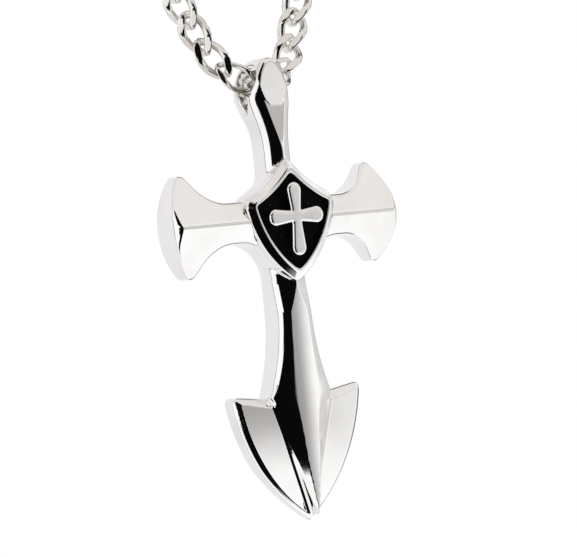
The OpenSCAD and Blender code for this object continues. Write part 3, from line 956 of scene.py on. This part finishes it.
# Room, as the polished faces see it, in degrees. Turn goes round the pendant: 0 is straight ahead of
# the cross, and right is positive. Height is above the horizon. Every edge fades from its first
# value to its second. An open edge lies outside the room.
OPEN_LEFT, OPEN_BELOW, OPEN_ABOVE = (-200, -190), (-110, -100), (100, 110)
WALL_WHITE, CEILING_WHITE = (1.15, 1.155, 1.16, 1), (0.91, 0.88, 0.86, 1)
CEILING_EDGE = (18, 40)
BACK_WHITE = (0.95, 0.935, 0.965, 1)
BACK_LEFT, BACK_RIGHT = (-136, -124), (137, 146)
GREY_PATCHES = [
    # Left edge, right edge, lower edge, upper edge, colour
    # A grey stretch to the front right, and a lighter one over it
    ((4, 16), (22, 62), (-14, -7), (-4, 14), (0.40, 0.39, 0.385, 1)),
    ((14, 22), (80, 130), (6, 9), (18, 24), (0.58, 0.57, 0.565, 1)),
    # A faint grey to the right, and a dark wall behind it
    ((66, 80), (98, 108), (-22, -12), (4, 12), (0.78, 0.77, 0.765, 1)),
    ((104, 114), (133, 138), (-64, -56), (56, 64), (0.06, 0.06, 0.06, 1)),
    # A dark slit behind to the left
    ((-134, -132), (-126, -123), OPEN_BELOW, OPEN_ABOVE, (0.08, 0.08, 0.08, 1)),
]
# The dark side lies ahead and to the left. Near the floor it reaches further left.
DARK = (0.003, 0.003, 0.0035, 1)
DARK_LEFT_LOW, DARK_LEFT_HIGH, DARK_LEFT_STEP = (-66, -58), (-58, -53), (-34, -28)
DARK_RIGHT, DARK_BELOW, DARK_ABOVE = (14, 20), (-61, -51), (36, 44)
# Two lamps stand in its left end: left edge, right edge, lower edge, upper edge
LAMP = OPEN_LEFT, (-37, -34), (5, 8), (16, 19)
LOW_LAMP = OPEN_LEFT, (-42, -38), (-27, -24), (-13, -10)


def patch(turn, height, left, right, below, above):
    """1 inside a patch of the room and 0 outside it."""
    across = turn.smooth(*left) * (1 - turn.smooth(*right))
    return across * height.smooth(*below) * (1 - height.smooth(*above))


def world_light():
    """A soft white room with a cooler back and a warm ceiling, and grey and dark patches that draw
    the lines on the polished faces. The camera itself sees plain white."""
    world = bpy.data.worlds.new("room")
    bpy.context.scene.world = world
    world.use_nodes = True
    tree = world.node_tree
    tree.nodes.clear()
    way = node(tree, "ShaderNodeTexCoord")[DIRECTION]
    x, y, z = node(tree, "ShaderNodeSeparateXYZ", {}, {0: way})
    turn = x.maths("ARCTAN2", x, 0 - y) * (180 / math.pi)
    height = z.maths("ARCSINE", z) * (180 / math.pi)
    light = height.smooth(*CEILING_EDGE).mix(WALL_WHITE, CEILING_WHITE)
    back = 1 - turn.smooth(*BACK_LEFT) + turn.smooth(*BACK_RIGHT)
    light = back.mix(light, BACK_WHITE)
    for *edges, colour in GREY_PATCHES:
        light = patch(turn, height, *edges).mix(light, colour)
    low = 1 - height.smooth(*DARK_LEFT_STEP)
    dark = turn.smooth(*DARK_LEFT_LOW) * low + turn.smooth(*DARK_LEFT_HIGH) * (1 - low)
    dark = dark * patch(turn, height, OPEN_LEFT, DARK_RIGHT, DARK_BELOW, DARK_ABOVE)
    for lamp in (LAMP, LOW_LAMP):
        dark = dark * (1 - patch(turn, height, *lamp))
    light = dark.mix(light, DARK)
    seen = node(tree, "ShaderNodeLightPath")[0]
    plain_white = (1.0, 1.0, 1.0, 1)
    glow = node(tree, "ShaderNodeBackground", {}, {"Color": seen.mix(light, plain_white)})[0]
    node(tree, "ShaderNodeOutputWorld", {}, {"Surface": glow})


# Floor, in metres
FLOOR_HALF = 30
FLOOR_GAP = 0.012


def make_floor():
    """A white floor that only the camera sees: the polished faces see the room under it."""
    low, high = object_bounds()
    z = low[2] - FLOOR_GAP
    corners = [(x * FLOOR_HALF, y * FLOOR_HALF, z) for x, y in ((-1, -1), (1, -1), (1, 1), (-1, 1))]
    mesh = bpy.data.meshes.new("floor")
    mesh.from_pydata(corners, [], [(0, 1, 2, 3)])
    material, tree = new_material("white_floor")
    finish_material(
        tree,
        {
            "Base Color": (0.0, 0.0, 0.0, 1),
            "Roughness": 1.0,
            "Specular IOR Level": 0.0,
            "Emission Color": (1.0, 1.0, 1.0, 1),
            "Emission Strength": 1.0,
        },
    )
    floor = new_piece("floor", mesh, material)
    floor.visible_glossy = False
    floor.visible_diffuse = False


bpy.context.scene.view_settings.view_transform = "Standard"
world_light()
make_floor()
